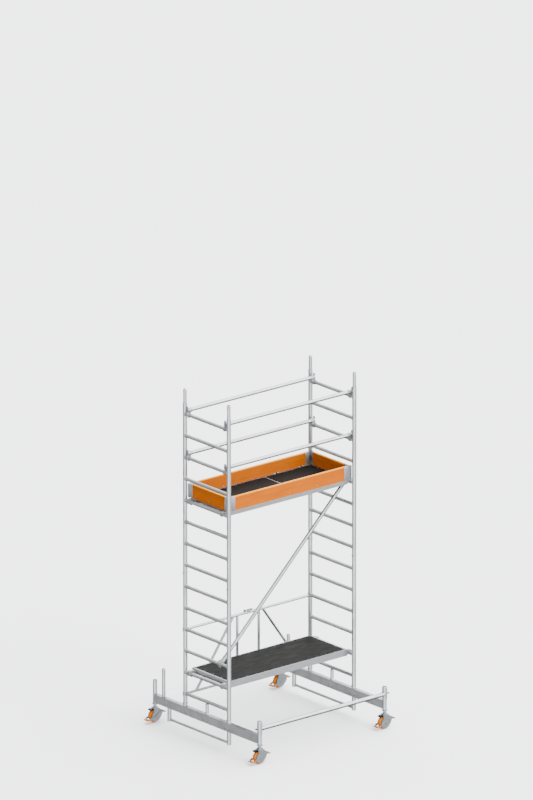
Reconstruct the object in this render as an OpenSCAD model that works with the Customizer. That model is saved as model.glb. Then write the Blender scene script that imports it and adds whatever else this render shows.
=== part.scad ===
// Mobile aluminium access tower section: ladder frames on a folding base unit,
// two decks, guardrails, toeboards and four braked castors.
// X runs along the bay, Y across it and Z up; the origin is on the floor under the middle.

/* [Overall sizes] */
// Distance between the two ladder frames, tube centre to tube centre
bay_length = 1800; // [1400:50:2500]
// Distance between the two uprights of a ladder frame, tube centre to tube centre
frame_width = 750; // [620:10:900]
// Length of a wheel beam between the centres of its two castor posts
beam_length = 1800; // [1500:50:2200]
// Spacing of the rungs, centre to centre
rung_pitch = 250; // [205:5:300]
// Height of the wheel beams' lower face above the floor
beam_foot_z = 230; // [225:5:300]

/* [Frames] */
// Number of rungs in a lower frame
lower_rungs = 6; // [4:1:6]
// Number of rungs in an upper frame
upper_rungs = 8; // [8:1:10]
// Height of the lowest rung above the wheel beam
first_rung_up = 144; // [120:1:200]
// Outside diameter of the uprights and castor posts
post_d = 48.3; // [44:0.1:58]
// Wall thickness of the uprights and castor posts
post_wall = 4; // [3:0.1:4.8]
// Outside diameter of the rungs
rung_d = 40; // [33:1:44]
// Wall thickness of the rungs
rung_wall = 2.5; // [2:0.1:4]
// Length of a spigot above the upright it is fixed in
spigot_len = 160; // [120:5:200]
// Play between a spigot and the bore it enters, on the radius
spigot_play = 0.3; // [0.1:0.05:0.5]
// Diameter of the spring clips' pins
pin_d = 8; // [6:0.5:10]

/* [Wheel beams] */
// Height of a wheel beam's section
beam_h = 100; // [84:1:120]
// Width of a wheel beam's section
beam_w = 50; // [50:1:60]
// Wall thickness of a wheel beam
beam_wall = 3; // [2.5:0.1:5]
// Height of a castor post's top above the beam's lower face
post_rise = 260; // [230:5:300]
// Height of the tall spare spigot above the beam
tall_spigot = 329; // [250:1:360]
// Distance of the tall spare spigot from the back castor post
tall_spigot_in = 150; // [100:5:200]
// Drop of the step bow below the beam
bow_drop = 157; // [130:1:165]
// Distance of the bow's back leg from the back castor post
bow_back_in = 250; // [210:5:280]
// Outside diameter of the bow's bar and the folding panel's tubes
slim_d = 30; // [25:1:36]

/* [Decks] */
// Height of a deck's surface above the rung it hangs on
deck_rise = 54; // [50:1:62]
// Height of a deck's side profile
deck_profile_h = 74; // [62:1:80]
// Gap between a deck's side and the uprights
deck_side_gap = 33.85; // [30:0.05:60]
// Gap between a deck's end bar and the centre of the rung
deck_end_gap = 48; // [46:1:60]
// Thickness of the deck boards
board_t = 12; // [9:0.5:15]
// Distance of the hatch's free end from the middle of the bay
hatch_x = 167; // [100:1:250]

/* [Guardrails and toeboards] */
// Outside diameter of the guardrails and the diagonal brace
rail_d = 42; // [36:1:48]
// Height of a guardrail's centre above the rung it clips on
rail_rise = 51; // [49:1:60]
// Gap between a guardrail's socket and the uprights
rail_side_gap = 2.85; // [1:0.05:20]
// Distance of the diagonal brace from the middle of the deck's claws
brace_in = 55; // [50:1:90]
// Height of a toeboard
toe_h = 159; // [130:1:190]
// Thickness of a toeboard
toe_t = 25; // [18:1:25]

/* [Castors] */
// Diameter of the castor wheels
wheel_d = 150; // [125:1:152]
// Width of the tyre
tyre_w = 38; // [32:1:46]
// Distance of the axle behind the swivel axis
trail = 10; // [0:1:30]
// Diameter of the castor's adjusting stem
stem_d = 36; // [30:0.5:37]

/* [Hidden] */
$fn = 96;

metal = [0.72, 0.73, 0.74];
dark_metal = [0.42, 0.43, 0.44];
board_black = [0.16, 0.15, 0.15];
orange = [0.88, 0.48, 0.12];
latch_brown = [0.55, 0.2, 0.14];

weld_gap = 0.05;     // keeps the tubes of one welded frame as separate solids
pin_play = 0.05;     // running fit of every pivot pin, on the radius
loose = 0.3;         // free play between parts that only rest on each other
half_bay = bay_length / 2;
half_width = frame_width / 2;
half_beam = beam_length / 2;
post_r = post_d / 2;
rung_r = rung_d / 2;
post_bore = post_d - 2 * post_wall;
spigot_d = post_bore - 2 * spigot_play;
foot_d = post_bore - 2 * weld_gap;
spigot_tip = 6;
tall_spigot_y = half_beam - tall_spigot_in;
bow_back_y = half_beam - bow_back_in;
spigot_wall = 4;
spigot_depth = 100;
pin_up = 35;
thin_wall = 2.5;     // wall of the slim tubes, the guardrails and the brace
collar_over = 5;     // how much wider a rung's end collar is than the rung
collar_half = 7;
foot_boss_h = 10;
beam_top_z = beam_foot_z + beam_h;
post_foot_z = beam_foot_z - 8;
post_top_z = beam_foot_z + post_rise;
joint_z = beam_top_z + first_rung_up + (lower_rungs - 0.5) * rung_pitch;
top_z = joint_z + upper_rungs * rung_pitch;
lower_rung_zs = [for (i = [0 : lower_rungs - 1]) beam_top_z + first_rung_up + i * rung_pitch];
upper_rung_zs = [for (i = [0 : upper_rungs - 1]) joint_z + (i + 0.5) * rung_pitch];
lower_deck_z = lower_rung_zs[1];
upper_deck_z = upper_rung_zs[3];
mid_rail_z = upper_rung_zs[5];
top_rail_z = upper_rung_zs[7];
brace_low_z = lower_rung_zs[2];
brace_high_z = upper_rung_zs[3];
brace_len = norm([bay_length, brace_high_z - brace_low_z]);
brace_angle = atan2(brace_high_z - brace_low_z, bay_length);
strut_z = beam_top_z + 70;
sleeve_r = post_r + 4.4;
sleeve_foot_z = beam_top_z + 2;
wing_up = 5;
wing_pin_d = 8;
wing_pin_x = -post_r - 15;
panel_low_z = beam_top_z + 140;
panel_top_z = panel_low_z + 750;
panel_collar_r = post_r + 6;
panel_stile_x = 155;
panel_run_x = half_bay - 365;
knuckle_r = 12;
knuckle_h = 16;
hinge_end_x = 22;
panel_catch_up = 28;
panel_catch_x = 45;
clip_wire_d = 4;
deck_half = half_width - post_r - deck_side_gap;
deck_end_x = half_bay - deck_end_gap;
deck_end_bar = 20;
deck_cross_x = deck_end_x - 292;
lip_w = 12;
ledge_w = 27;
claw_w = 40;
claw_y = deck_half - 32;
claw_r = rung_r + 18;
claw_leg = 14;
rail_claw_w = 26;
rail_claw_r = rung_r + 13;
socket_r = rail_d / 2 + 3;
rail_y = half_width - post_r - socket_r - rail_side_gap;
brace_y = claw_y - brace_in;
socket_len = 50;
catch_t = 5;
catch_in = rung_r + 1.3;
catch_out = rung_r + 11;
catch_eye = 6.2;
catch_pin_d = 5;
catch_pivot = [rung_r + 6.65, -7];
latch_pivot = [rung_r + 9, -9];
catch_gap = 0.5;     // between a catch and its claw
catch_y = rail_claw_w / 2 + catch_t / 2 + catch_gap;
brace_socket_x = rung_r + 16;
board_end_x = deck_end_x - deck_end_bar - 1;
hinge_y = deck_half - lip_w + 1;
hinge_z = deck_rise + 5;
hinge_xs = [hatch_x + 183, board_end_x - 125];
hinge_r = 5;
hinge_pin_d = 4;
toe_z = upper_deck_z + 40;
toe_board_x = half_bay - 60;
toe_end_x = half_bay - 10;
toe_in_y = deck_half;
toe_clip = 42;
axle_z = wheel_d / 2;
axle_d = 12;
fork_in = tyre_w / 2 + 13;
fork_t = 4;
crown_z = wheel_d + 8;
head_top_z = crown_z + 15;
head_r = 38;
king_d = 14;
nut_h = 17;
crown_half_x = [-44, 40];
axle_over = 14;
strap_t = 4;
strap_y = fork_in + fork_t + 1 + strap_t / 2;
castor_places = [[-half_bay, -half_beam], [half_bay, -half_beam],
  [-half_bay, half_beam], [half_bay, half_beam]];

// ---- small helpers
module rod_x(d, x0, x1) {
  translate([x0, 0, 0])
    rotate([0, 90, 0])
      cylinder(d = d, h = x1 - x0);
}

module rod_y(d, y0, y1) {
  translate([0, y0, 0])
    rotate([-90, 0, 0])
      cylinder(d = d, h = y1 - y0);
}

module rod_z(d, z0, z1) {
  translate([0, 0, z0])
    cylinder(d = d, h = z1 - z0);
}

module pipe_z(d, wall, z0, z1) {
  difference() {
    rod_z(d, z0, z1);
    rod_z(d - 2 * wall, z0 - 1, z1 + 1);
  }
}

// A flat profile drawn in X and Z, given a width along Y about the middle
module upright_plate(width) {
  rotate([90, 0, 0])
    linear_extrude(width, center = true)
      children();
}

// A strip between two points of a profile
module strip(from, to, width) {
  translate(from)
    rotate(atan2(to[1] - from[1], to[0] - from[0]))
      translate([0, -width / 2])
        square([norm(to - from), width]);
}

// ---- ladder frames
module upright(z0, z1, hole_zs) {
  difference() {
    pipe_z(post_d, post_wall, z0, z1);
    for (z = hole_zs)
      translate([0, 0, z])
        rod_x(pin_d + 1, -post_d, post_d);
  }
}

// A spigot's foot is pressed into its upright, and its free end is slimmer by the play
module spigot(z0, free_z, z1, hole_zs) {
  difference() {
    union() {
      rod_z(foot_d, z0, free_z);
      rod_z(spigot_d, free_z, z1 - spigot_tip);
      translate([0, 0, z1 - spigot_tip])
        cylinder(d1 = spigot_d, d2 = spigot_d - 8, h = spigot_tip);
    }
    rod_z(spigot_d - 2 * spigot_wall, z0 - 1, z1 + 1);
    for (z = hole_zs)
      translate([0, 0, z])
        rod_x(pin_d + 1, -post_d, post_d);
  }
}

module rung(z) {
  translate([0, 0, z])
    difference() {
      union() {
        rod_y(rung_d, -half_width, half_width);
        for (side = [-1, 1])
          translate([0, side * (half_width - post_r), 0])
            rod_y(rung_d + collar_over, -collar_half, collar_half);
      }
      rod_y(rung_d - 2 * rung_wall, -half_width, half_width);
      for (side = [-1, 1])
        translate([0, side * half_width, 0])
          cylinder(r = post_r + weld_gap, h = 2 * post_d, center = true);
    }
}

module ladder_frame(z0, z1, rung_zs, foot_hole_z) {
  for (side = [-1, 1])
    translate([0, side * half_width, 0]) {
      upright(z0, z1, [foot_hole_z]);
      spigot(z1 - spigot_depth, z1, z1 + spigot_len, [z1 + pin_up]);
    }
  for (z = rung_zs)
    rung(z);
}

module lower_frame() {
  color(metal)
    ladder_frame(beam_top_z, joint_z, lower_rung_zs, beam_top_z + pin_up);
}

module upper_frame() {
  color(metal)
    ladder_frame(joint_z, top_z, upper_rung_zs, joint_z + pin_up);
}

// ---- wheel beams with castor posts, spare spigots and step bow
module beam() {
  bar_end_y = half_beam - post_r / 2;
  bow_foot_z = beam_foot_z - bow_drop;
  boss_top_z = beam_top_z + foot_boss_h;
  color(metal) {
    difference() {
      translate([-beam_w / 2, -bar_end_y, beam_foot_z])
        cube([beam_w, 2 * bar_end_y, beam_h]);
      translate([-beam_w / 2 + beam_wall, -bar_end_y - 1, beam_foot_z + beam_wall])
        cube([beam_w - 2 * beam_wall, 2 * bar_end_y + 2, beam_h - 2 * beam_wall]);
      for (side = [-1, 1])
        translate([0, side * half_beam, 0])
          rod_z(post_d + 2 * weld_gap, 0, top_z);
    }
    for (side = [-1, 1])
      translate([0, side * half_beam, 0])
        pipe_z(post_d, post_wall, post_foot_z, post_top_z);
    for (side = [-1, 1])
      translate([0, side * half_width, 0])
        spigot(beam_top_z + weld_gap, beam_top_z + 1, beam_top_z + spigot_len, [beam_top_z + pin_up]);
    translate([0, tall_spigot_y, 0])
      spigot(beam_top_z + weld_gap, beam_top_z + 1, beam_top_z + tall_spigot, []);
    spigot(boss_top_z + weld_gap, boss_top_z + 1, lower_rung_zs[0] - rung_r - 4, []);
    difference() {
      translate([0, 0, beam_top_z + weld_gap])
        cylinder(d1 = beam_w, d2 = foot_d + 2, h = foot_boss_h - weld_gap);
      rod_z(spigot_d - 2 * spigot_wall, beam_top_z - 1, boss_top_z + 1);
    }
    for (y = [-half_width, bow_back_y])
      translate([0, y, 0])
        pipe_z(post_d, post_wall, bow_foot_z, beam_foot_z - weld_gap);
    translate([0, 0, bow_foot_z + slim_d / 2 + 9])
      difference() {
        rod_y(slim_d, -half_width, bow_back_y);
        for (y = [-half_width, bow_back_y])
          translate([0, y, 0])
            cylinder(r = post_r + weld_gap, h = 2 * post_d, center = true);
        rod_y(slim_d - 2 * thin_wall, -half_width, bow_back_y);
      }
  }
}

// ---- base tube that ties the two front castor posts together
module base_sleeve() {
  rim = 4;
  slim_r = post_r + 1.6;
  slim_z = strut_z - 50;
  full_z = strut_z - 12;
  difference() {
    union() {
      rod_z(2 * sleeve_r, full_z, post_top_z - rim);
      translate([0, 0, post_top_z - rim])
        cylinder(r1 = sleeve_r, r2 = sleeve_r - rim, h = rim);
      translate([0, 0, slim_z])
        cylinder(r1 = slim_r, r2 = sleeve_r, h = full_z - slim_z);
      rod_z(2 * slim_r, sleeve_foot_z, slim_z);
      translate([0, 0, strut_z + wing_up])
        rod_x(22, wing_pin_x + 1, 0);
    }
    rod_z(post_d + 2 * loose, sleeve_foot_z - 1, top_z);
    translate([0, 0, strut_z + wing_up])
      rod_x(wing_pin_d + 2 * pin_play, wing_pin_x, 0);
  }
}

module base_tube() {
  color(metal) {
    translate([0, -half_beam, strut_z])
      difference() {
        rod_x(post_d, -half_bay, half_bay);
        rod_x(post_bore, -half_bay, half_bay);
        for (side = [-1, 1])
          translate([side * half_bay, 0, 0])
            cylinder(r = sleeve_r + weld_gap, h = 3 * post_d, center = true);
      }
    translate([-half_bay, -half_beam, 0])
      base_sleeve();
    translate([half_bay, -half_beam, 0])
      mirror([1, 0, 0])
        base_sleeve();
  }
}

module wing() {
  boss_x = wing_pin_x - 12;
  color(dark_metal)
    translate([0, 0, strut_z + wing_up]) {
      rod_x(wing_pin_d, boss_x, -post_r - 1);
      rod_x(18, boss_x, wing_pin_x);
      translate([boss_x - 2, -24, -5])
        cube([5, 48, 10]);
    }
}

// ---- folding panel between the back uprights
module panel_collar(z) {
  translate([0, 0, z])
    difference() {
      cylinder(r = panel_collar_r, h = 40, center = true);
      cylinder(r = post_r + loose, h = 42, center = true);
      translate([-rung_r - 4, -post_d, -21])
        cube([rung_d + 8, post_d, 42]);
    }
}

module panel_tube(z) {
  difference() {
    translate([0, 0, z])
      rod_x(slim_d, -half_bay, -hinge_end_x);
    translate([0, 0, z])
      rod_x(slim_d - 2 * thin_wall, -half_bay, -hinge_end_x - 8);
    translate([-half_bay, 0, z])
      cylinder(r = panel_collar_r + weld_gap, h = 60, center = true);
  }
}

// One half of the panel; the knuckles of the left half sit below those of the right one
module panel_half(knuckle_up) {
  diagonal_len = norm([panel_run_x, panel_top_z - panel_low_z]);
  diagonal_tilt = atan2(panel_run_x, panel_top_z - panel_low_z);
  for (z = [panel_low_z, panel_top_z]) {
    translate([-half_bay, 0, 0])
      panel_collar(z);
    difference() {
      union() {
        panel_tube(z);
        translate([0, 0, z + knuckle_up])
          cylinder(r = knuckle_r, h = knuckle_h, center = true);
        translate([-hinge_end_x - 4, -5, z + knuckle_up - knuckle_h / 2])
          cube([hinge_end_x, 10, knuckle_h]);
      }
      translate([0, 0, z])
        cylinder(d = pin_d + 2 * pin_play, h = 60, center = true);
    }
  }
  difference() {
    translate([-panel_stile_x, 0, 0])
      pipe_z(slim_d, thin_wall, panel_low_z, panel_top_z);
    for (z = [panel_low_z, panel_top_z])
      translate([0, 0, z])
        rod_x(slim_d + 2 * weld_gap, -half_bay, 0);
  }
  difference() {
    translate([-panel_stile_x - 55, 0, panel_top_z])
      rotate([0, 180 + diagonal_tilt, 0])
        difference() {
          cylinder(d = slim_d, h = diagonal_len);
          cylinder(d = slim_d - 2 * thin_wall, h = diagonal_len);
        }
    for (z = [panel_low_z, panel_top_z])
      translate([0, 0, z])
        rod_x(slim_d + 2 * weld_gap, -half_bay - 100, 0);
  }
}

module catch_ears() {
  for (side = [-1, 1])
    translate([-panel_catch_x, side * 9, panel_top_z + 20])
      cube([22, 6, 34], center = true);
  translate([-panel_catch_x, 0, panel_top_z + panel_catch_up])
    rod_y(6, -14, 14);
}

module fold_panel_left() {
  color(metal)
    translate([0, half_width, 0]) {
      panel_half(-knuckle_h / 2 - 0.3);
      catch_ears();
      for (z = [panel_low_z, panel_top_z])
        translate([0, 0, z]) {
          rod_z(pin_d, -knuckle_h - 1, knuckle_h + 1);
          rod_z(pin_d + 6, knuckle_h + 1, knuckle_h + 5);
          rod_z(pin_d + 6, -knuckle_h - 5, -knuckle_h - 1);
        }
    }
}

module fold_panel_right() {
  color(metal)
    translate([0, half_width, 0]) {
      mirror([1, 0, 0])
        panel_half(knuckle_h / 2 + 0.3);
      translate([panel_catch_x, 0, panel_top_z + 16])
        cube([10, 12, 24], center = true);
    }
}

module panel_catch() {
  color(dark_metal)
    translate([0, half_width, panel_top_z + panel_catch_up])
      upright_plate(10)
        difference() {
          union() {
            translate([-panel_catch_x, -5])
              square([104, 10]);
            translate([-panel_catch_x, 0])
              circle(6);
            translate([52, -11])
              square([7, 16]);
          }
          translate([-panel_catch_x, 0])
            circle(3 + pin_play);
          translate([39, -6])
            square([12, 9]);
        }
}

// ---- spring clips through every frame joint
module joint_clip() {
  rotate_extrude()
    translate([post_r + clip_wire_d / 2 + 0.1, 0])
      circle(d = clip_wire_d);
  rod_x(pin_d, -post_r - 8, post_r + 3);
  rod_x(pin_d + 6, -post_r - 9, -post_r - 4);
}

module joint_clips() {
  color(metal)
    for (x = [-half_bay, half_bay])
      for (y = [-half_width, half_width])
        for (z = [beam_top_z + pin_up, joint_z + pin_up])
          translate([x, y, z])
            joint_clip();
}

// ---- decks
module claw_profile(outer_r) {
  difference() {
    union() {
      circle(outer_r);
      translate([-outer_r, -claw_leg])
        square([2 * outer_r, claw_leg]);
      children();
    }
    circle(rung_r + loose);
    translate([-rung_r - loose, -2 * outer_r])
      square([rung_d + 2 * loose, 2 * outer_r]);
  }
}

module below(z) {
  difference() {
    children();
    translate([-200, z - 400])
      square([400, 400]);
  }
}

module deck_claw() {
  translate([-half_bay, 0, 0])
    upright_plate(claw_w)
      below(-claw_leg)
        claw_profile(claw_r)
          square([deck_end_gap - weld_gap, claw_r]);
}

module side_profile() {
  low = deck_rise - deck_profile_h;
  shelf = deck_rise - board_t;
  rotate([90, 0, 90])
    linear_extrude(2 * deck_end_x, center = true)
      difference() {
        polygon([[deck_half - ledge_w, low], [deck_half, low], [deck_half, deck_rise],
          [deck_half - lip_w, deck_rise], [deck_half - lip_w, shelf], [deck_half - ledge_w, shelf]]);
        translate([deck_half - ledge_w + 3, low + 3])
          square([ledge_w - 6, shelf - low - 6]);
      }
}

module deck_frame(cross_xs) {
  inner = deck_half - ledge_w - weld_gap;
  bar_z = deck_rise - board_t - 30;
  side_profile();
  mirror([0, 1, 0])
    side_profile();
  for (side = [0, 1])
    mirror([side, 0, 0]) {
      translate([-deck_end_x, -inner, -2])
        cube([deck_end_bar, 2 * inner, deck_rise + 2]);
      for (y = [-claw_y, claw_y])
        translate([0, y, 0]) {
          deck_claw();
          latch_pin(y);
        }
    }
  for (x = cross_xs)
    translate([x - 15, -inner, bar_z])
      cube([30, 2 * inner, 30]);
}

// The pin a deck latch turns on, on the claw's side that faces the middle
module latch_pin(y) {
  reach = claw_w / 2 + catch_t + 2 * catch_gap;
  inward = y > 0 ? -1 : 1;
  translate([-half_bay + latch_pivot[0], inward * reach / 2, latch_pivot[1]])
    rod_y(catch_pin_d, -reach / 2, reach / 2);
}

module latch_plate() {
  difference() {
    union() {
      intersection() {
        difference() {
          circle(catch_out);
          circle(catch_in);
        }
        polygon([[0, 0], [60, -28], [60, -80], [-60, -80], [-60, -24]]);
      }
      translate(latch_pivot)
        circle(catch_eye);
      strip(latch_pivot, latch_pivot + [14, -9], 10);
    }
    translate(latch_pivot)
      circle(catch_pin_d / 2 + pin_play);
    circle(catch_in);
  }
}

module deck_latch() {
  plate_y = claw_y - claw_w / 2 - catch_t / 2 - catch_gap;
  translate([-half_bay, 0, 0]) {
    for (y = [-plate_y, plate_y])
      translate([0, y, 0])
        upright_plate(catch_t)
          latch_plate();
  }
}

module latch_at(z, flip) {
  color(latch_brown)
    translate([0, 0, z])
      mirror([flip, 0, 0])
        deck_latch();
}

module deck_board(x0, x1) {
  side = deck_half - lip_w - 1;
  translate([x0, -side, deck_rise - board_t])
    cube([x1 - x0, 2 * side, board_t]);
}

// Fixed leaf, knuckles and pin of one hatch hinge
module hinge_fixed(x) {
  translate([x, 0, 0]) {
    for (k = [-30, 12]) {
      translate([k, hinge_y, deck_rise])
        cube([18, 9, 2]);
      translate([k, hinge_y, deck_rise])
        cube([18, hinge_r, hinge_r]);
      translate([0, hinge_y, hinge_z])
        rod_x(2 * hinge_r, k, k + 18);
    }
    translate([0, hinge_y, hinge_z])
      rod_x(hinge_pin_d, -29, 29);
  }
}

module hinge_moving(x) {
  translate([x, 0, 0])
    difference() {
      union() {
        translate([0, hinge_y, hinge_z])
          rod_x(2 * hinge_r, -11, 11);
        translate([-11, hinge_y - hinge_r, deck_rise])
          cube([22, hinge_r, hinge_r]);
        translate([-11, hinge_y - 34, deck_rise])
          cube([22, 32, 2]);
      }
      translate([0, hinge_y, hinge_z])
        rod_x(hinge_pin_d + 2 * pin_play, -12, 12);
    }
}

module lower_deck_frame() {
  color(metal)
    translate([0, 0, lower_deck_z])
      deck_frame([-deck_cross_x, 0, deck_cross_x]);
}

module lower_deck_board() {
  color(board_black)
    translate([0, 0, lower_deck_z])
      deck_board(-board_end_x, board_end_x);
}

module upper_deck_frame() {
  color(metal)
    translate([0, 0, upper_deck_z]) {
      deck_frame([-deck_cross_x, -200, hatch_x]);
      for (x = hinge_xs)
        hinge_fixed(x);
    }
}

module upper_deck_board() {
  color(board_black)
    translate([0, 0, upper_deck_z])
      deck_board(-board_end_x, hatch_x - 1);
}

module hatch() {
  color(board_black)
    translate([0, 0, upper_deck_z]) {
      difference() {
        deck_board(hatch_x + 1, board_end_x);
        for (x = hinge_xs)
          translate([x - 31, hinge_y - 3, 0])
            cube([62, 20, deck_rise + 20]);
      }
      for (x = hinge_xs)
        hinge_moving(x);
    }
}

// ---- guardrails and diagonal brace
module catch_profile() {
  difference() {
    union() {
      intersection() {
        difference() {
          circle(catch_out);
          circle(catch_in);
        }
        polygon([[0, 0], [60, -28], [60, -80], [-60, -80], [-60, -60]]);
      }
      translate(catch_pivot)
        circle(catch_eye);
    }
    translate(catch_pivot)
      circle(catch_pin_d / 2 + pin_play);
    circle(catch_in);
  }
}

module catch_pin() {
  reach = rail_claw_w / 2 + catch_t + 2 * catch_gap;
  translate([catch_pivot[0], 0, catch_pivot[1]])
    rod_y(catch_pin_d, -1, reach);
}

module catch_plate() {
  translate([0, catch_y, 0])
    upright_plate(catch_t)
      catch_profile();
}

// Guardrail claw around the rung at the origin, with its tube socket above
module rail_claw() {
  difference() {
    union() {
      upright_plate(rail_claw_w)
        below(-claw_leg)
          claw_profile(rail_claw_r)
            translate([-14, 0])
              square([socket_len - 4, rail_rise]);
      translate([0, 0, rail_rise])
        rod_x(2 * socket_r, -10, socket_len);
      translate([-14, -rail_claw_w / 2, rail_rise])
        cube([8, rail_claw_w, socket_r + 22]);
    }
    translate([0, 0, rail_rise])
      rod_x(rail_d + 2 * weld_gap, 0, socket_len + 1);
  }
  catch_pin();
}

module guardrail() {
  for (side = [0, 1])
    mirror([side, 0, 0])
      translate([-half_bay, 0, 0])
        rail_claw();
  translate([0, 0, rail_rise])
    difference() {
      rod_x(rail_d, -half_bay + weld_gap, half_bay - weld_gap);
      rod_x(rail_d - 2 * thin_wall, -half_bay, half_bay);
    }
}

// Front guardrails have their catches on the inner side, back ones are the same turned round
module rail_at(y_side, z) {
  translate([0, y_side * rail_y, z])
    mirror([0, y_side > 0 ? 1 : 0, 0])
      children();
}

module catch_at(x_side, y_side, z) {
  color(dark_metal)
    rail_at(y_side, z)
      mirror([x_side > 0 ? 1 : 0, 0, 0])
        translate([-half_bay, 0, 0])
          catch_plate();
}

// The brace lies along its own X axis before it is tilted
module brace_end() {
  difference() {
    union() {
      upright_plate(rail_claw_w)
        below(-claw_leg)
          claw_profile(rail_claw_r)
            square([0.01, 0.01]);
      difference() {
        rod_x(2 * socket_r, rung_r + 6, 100);
        rod_y(2 * (rung_r + loose), -60, 60);
      }
    }
    rod_x(rail_d + 2 * weld_gap, brace_socket_x, 101);
  }
  mirror([1, 0, 0])
    catch_pin();
}

module on_brace() {
  translate([-half_bay, -brace_y, brace_low_z])
    rotate([0, -brace_angle, 0])
      children();
}

module brace() {
  color(metal)
    on_brace() {
      brace_end();
      translate([brace_len, 0, 0])
        mirror([1, 0, 0])
          brace_end();
      difference() {
        rod_x(rail_d, brace_socket_x + weld_gap, brace_len - brace_socket_x - weld_gap);
        rod_x(rail_d - 2 * thin_wall, 0, brace_len);
      }
    }
}

module brace_catch(at_top) {
  color(dark_metal)
    on_brace()
      translate([at_top ? brace_len : 0, 0, 0])
        mirror([at_top ? 0 : 1, 0, 0])
          catch_plate();
}

// ---- toeboards of the upper deck
module toeboard_long(y_side) {
  color(orange)
    translate([-toe_board_x, y_side > 0 ? toe_in_y : -toe_in_y - toe_t, toe_z])
      cube([2 * toe_board_x, toe_t, toe_h]);
}

module toeboard_short(x_side) {
  color(orange)
    translate([x_side > 0 ? deck_end_x : -deck_end_x - toe_t, toe_clip - toe_in_y, toe_z])
      cube([toe_t, 2 * (toe_in_y - toe_clip), toe_h]);
}

module toeboard_fittings() {
  color(metal)
    for (x_side = [0, 1])
      for (y_side = [0, 1])
        mirror([x_side, 0, 0])
          mirror([0, y_side, 0]) {
            translate([toe_board_x, toe_in_y, toe_z])
              cube([toe_end_x - toe_board_x, toe_t, toe_h]);
            translate([deck_end_x, toe_in_y - toe_clip, toe_z])
              cube([toe_t, toe_clip - weld_gap, toe_h]);
          }
}

// ---- castors, drawn with the swivel axis on Z
module stem() {
  color(metal) {
    rod_z(60, head_top_z + 0.5, head_top_z + 7);
    rod_z(stem_d, head_top_z + 6, post_top_z - 10);
    rod_z(king_d, crown_z - 2, head_top_z + 1);
    rod_z(26, crown_z - 5.5, crown_z - 0.5);
  }
}

module adjusting_nuts() {
  color(metal)
    for (place = castor_places)
      translate([place[0], place[1], post_foot_z - nut_h])
        difference() {
          union() {
            cylinder(d = post_d + 4, h = nut_h);
            for (turn = [45, 135])
              rotate(turn)
                translate([-post_r - 9, -6, 0])
                  cube([post_d + 18, 12, nut_h - 5]);
          }
          translate([0, 0, -1])
            cylinder(d = stem_d + 2 * loose, h = nut_h + 2);
        }
}

module fork_plate() {
  difference() {
    union() {
      translate([-trail, axle_z])
        circle(62);
      translate([crown_half_x[0], axle_z])
        square([crown_half_x[1] - crown_half_x[0], crown_z - axle_z - weld_gap]);
      polygon([[30, axle_z - 32], [58, axle_z - 20], [84, axle_z + 40],
        [60, axle_z + 66], [30, crown_z - 4]]);
    }
    translate([-trail, axle_z])
      circle(axle_d / 2 + pin_play);
    translate([62, axle_z + 38])
      circle(9);
  }
}

module fork() {
  fender_x = -82;
  color(metal) {
    difference() {
      union() {
        rod_z(2 * head_r, crown_z, head_top_z);
        translate([crown_half_x[0], -fork_in - fork_t, crown_z])
          cube([crown_half_x[1] - crown_half_x[0], 2 * (fork_in + fork_t), 6]);
      }
      rod_z(king_d + 2 * pin_play, crown_z - 1, head_top_z + 1);
    }
    for (side = [-1, 1])
      translate([0, side * (fork_in + fork_t / 2), 0])
        upright_plate(fork_t)
          fork_plate();
    translate([-trail, 0, axle_z]) {
      rod_y(axle_d, -fork_in - axle_over, fork_in + axle_over);
      for (side = [-1, 1])
        translate([0, side * (fork_in + axle_over), 0])
          rod_y(20, -3, 3);
    }
  }
  color(board_black)
    translate([fender_x, -tyre_w / 2 - 5, wheel_d - 2])
      cube([crown_half_x[0] - fender_x - weld_gap, tyre_w + 10, 16]);
}

module wheel() {
  tyre_in = wheel_d / 2 - 22;
  edge = 8;
  half_w = tyre_w / 2;
  translate([-trail, 0, axle_z])
    rotate([90, 0, 0]) {
      color(orange)
        rotate_extrude()
          polygon([[tyre_in, -half_w], [wheel_d / 2 - edge, -half_w], [wheel_d / 2 - 2, -half_w + 5],
            [wheel_d / 2, -half_w + 12], [wheel_d / 2, half_w - 12], [wheel_d / 2 - 2, half_w - 5],
            [wheel_d / 2 - edge, half_w], [tyre_in, half_w]]);
      color(dark_metal)
        difference() {
          union() {
            cylinder(r = tyre_in - weld_gap, h = tyre_w - 6, center = true);
            cylinder(r = 17, h = 2 * fork_in - 1, center = true);
          }
          cylinder(d = axle_d + 2 * pin_play, h = 3 * tyre_w, center = true);
        }
    }
}

// Rocker with a low locking pad on one side and a high release pad on the other
module pedal_strap() {
  difference() {
    union() {
      circle(16);
      strip([0, 0], [-94, -26], 22);
      strip([0, 0], [80, 52], 26);
      strip([78, 50], [112, 34], 24);
    }
    circle(axle_d / 2 + pin_play);
  }
}

module pedal() {
  pad_y = strap_y - strap_t / 2 - weld_gap;
  translate([-trail, 0, axle_z]) {
    color(metal)
      for (side = [-1, 1])
        translate([0, side * strap_y, 0])
          upright_plate(strap_t)
            pedal_strap();
    color(orange) {
      translate([-126, -pad_y, -36])
        rotate([0, 12, 0])
          cube([42, 2 * pad_y, 12]);
      translate([98, -pad_y, 34])
        rotate([0, 25, 0])
          cube([40, 2 * pad_y, 14]);
    }
  }
}

module at_castor(index) {
  translate([castor_places[index][0], castor_places[index][1], 0])
    children();
}

module left() {
  translate([-half_bay, 0, 0])
    children();
}

module right() {
  translate([half_bay, 0, 0])
    mirror([1, 0, 0])
      children();
}

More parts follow.
